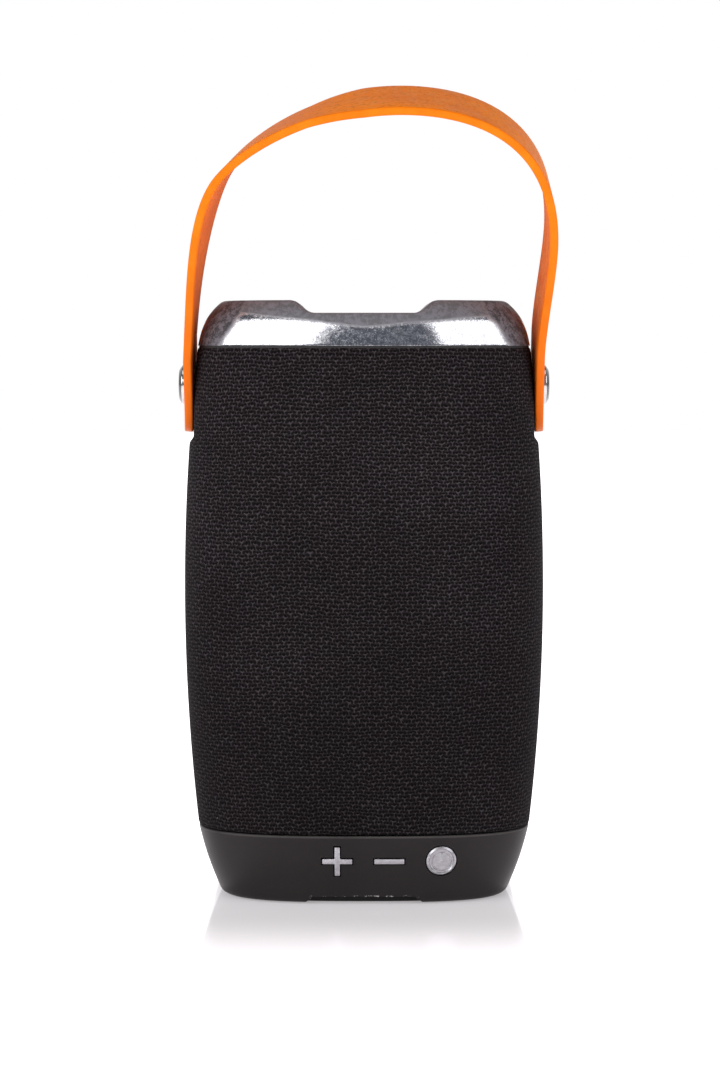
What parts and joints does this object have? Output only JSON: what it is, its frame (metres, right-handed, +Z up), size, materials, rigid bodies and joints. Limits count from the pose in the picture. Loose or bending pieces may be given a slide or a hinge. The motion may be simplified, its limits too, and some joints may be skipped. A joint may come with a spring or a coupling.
{
  "type": "portable bluetooth speaker",
  "caption": "Portable battery speaker with a fabric barrel, chromed saddle top, plastic base with press keys and a wide swinging carrying strap.",
  "frame": {"origin": "centre of the foot pad's underside, on the surface the speaker stands on", "axes": "+Z up; -Y towards the front, where the keys are; +X to the right seen from the front; the strap's pivots lie along X"},
  "size_m": [0.1047, 0.069, 0.2254],
  "materials": {
    "strap_material": "orange, satin, with bright cut edges",
    "dark_fabric": "dark knit",
    "cap_chrome": "mirror",
    "satin_metal": "satin",
    "base_plastic": "matte",
    "inner_plastic": "matte",
    "rubber": "matte",
    "steel": "plated",
    "brass": "turned",
    "ferrite": "matte",
    "paper_cone": "matte",
    "coil_winding": "lacquered winding",
    "circuit_board": "solder mask",
    "cell_wrap": "shrink film"
  },
  "bodies": {
    "speaker": {"fabric_sleeve": "dark_fabric", "driver_spider": "dark_fabric", "top_cap": "cap_chrome", "strap_screw_left": "satin_metal", "strap_screw_right": "satin_metal", "radio_module": "satin_metal", "filter_capacitor": "satin_metal", "base_shell": "base_plastic", "lower_hem_ring": "inner_plastic", "top_deck": "inner_plastic", "housing_front": "inner_plastic", "housing_rear": "inner_plastic", "driver_guard": "inner_plastic", "radiator_guard": "inner_plastic", "radiator_frame": "inner_plastic", "battery_cradle": "inner_plastic", "audio_jack": "inner_plastic", "switch_plus": "inner_plastic", "switch_minus": "inner_plastic", "switch_power": "inner_plastic", "foot_pad": "rubber", "housing_seal": "rubber", "driver_surround": "rubber", "radiator_surround": "rubber", "speaker_lead": "rubber", "battery_lead": "rubber", "base_screw_1": "steel", "base_screw_2": "steel", "base_screw_3": "steel", "base_screw_4": "steel", "charging_socket": "steel", "driver_basket": "steel", "driver_front_plate": "steel", "driver_back_plate": "steel", "driver_screw_1": "steel", "driver_screw_2": "steel", "driver_screw_3": "steel", "driver_screw_4": "steel", "pivot_bush_left": "brass", "pivot_bush_right": "brass", "threaded_insert_left": "brass", "threaded_insert_right": "brass", "driver_magnet": "ferrite", "main_board": "circuit_board", "key_board": "circuit_board", "battery_cell_front": "cell_wrap", "battery_cell_rear": "cell_wrap"},
    "handle": {"strap": "strap_material"},
    "plus": {"plus_key": "satin_metal", "plunger_plus": "inner_plastic"},
    "minus": {"minus_key": "satin_metal", "plunger_minus": "inner_plastic"},
    "power": {"power_key": "satin_metal", "plunger_power": "inner_plastic"},
    "port_flap": {"port_cover": "rubber"},
    "cone": {"driver_cone": "paper_cone", "driver_dust_cap": "paper_cone", "voice_coil": "coil_winding"},
    "radiator": {"radiator_plate": "steel"}
  },
  "joints": [
    {"name": "handle_hinge", "type": "hinge", "parent": "speaker", "child": "handle", "pos_m": [0, 0, 0.1431], "axis": [1, 0, 0], "range_deg": [-108, 71]},
    {"name": "plus_press", "type": "slide", "parent": "speaker", "child": "plus", "axis": [0.0161, 0.9857, 0.1675], "range_m": [0, 0.0005], "stiffness_N_per_m": 800},
    {"name": "minus_press", "type": "slide", "parent": "speaker", "child": "minus", "axis": [-0.0142, 0.9858, 0.1674], "range_m": [0, 0.0005], "stiffness_N_per_m": 800},
    {"name": "power_press", "type": "slide", "parent": "speaker", "child": "power", "axis": [-0.1414, 0.9736, 0.179], "range_m": [0, 0.0005], "stiffness_N_per_m": 800},
    {"name": "port_cover_hinge", "type": "hinge", "parent": "speaker", "child": "port_flap", "pos_m": [-0.017, 0.02618, 0.0106], "axis": [0, 0.1804, 0.9836], "range_deg": [0, 110]},
    {"name": "cone_travel", "type": "slide", "parent": "speaker", "child": "cone", "axis": [0, -1, 0], "range_m": [-0.002, 0.002], "stiffness_N_per_m": 1500},
    {"name": "radiator_travel", "type": "slide", "parent": "speaker", "child": "radiator", "axis": [0, 1, 0], "range_m": [-0.002, 0.002], "stiffness_N_per_m": 800}
  ]
}
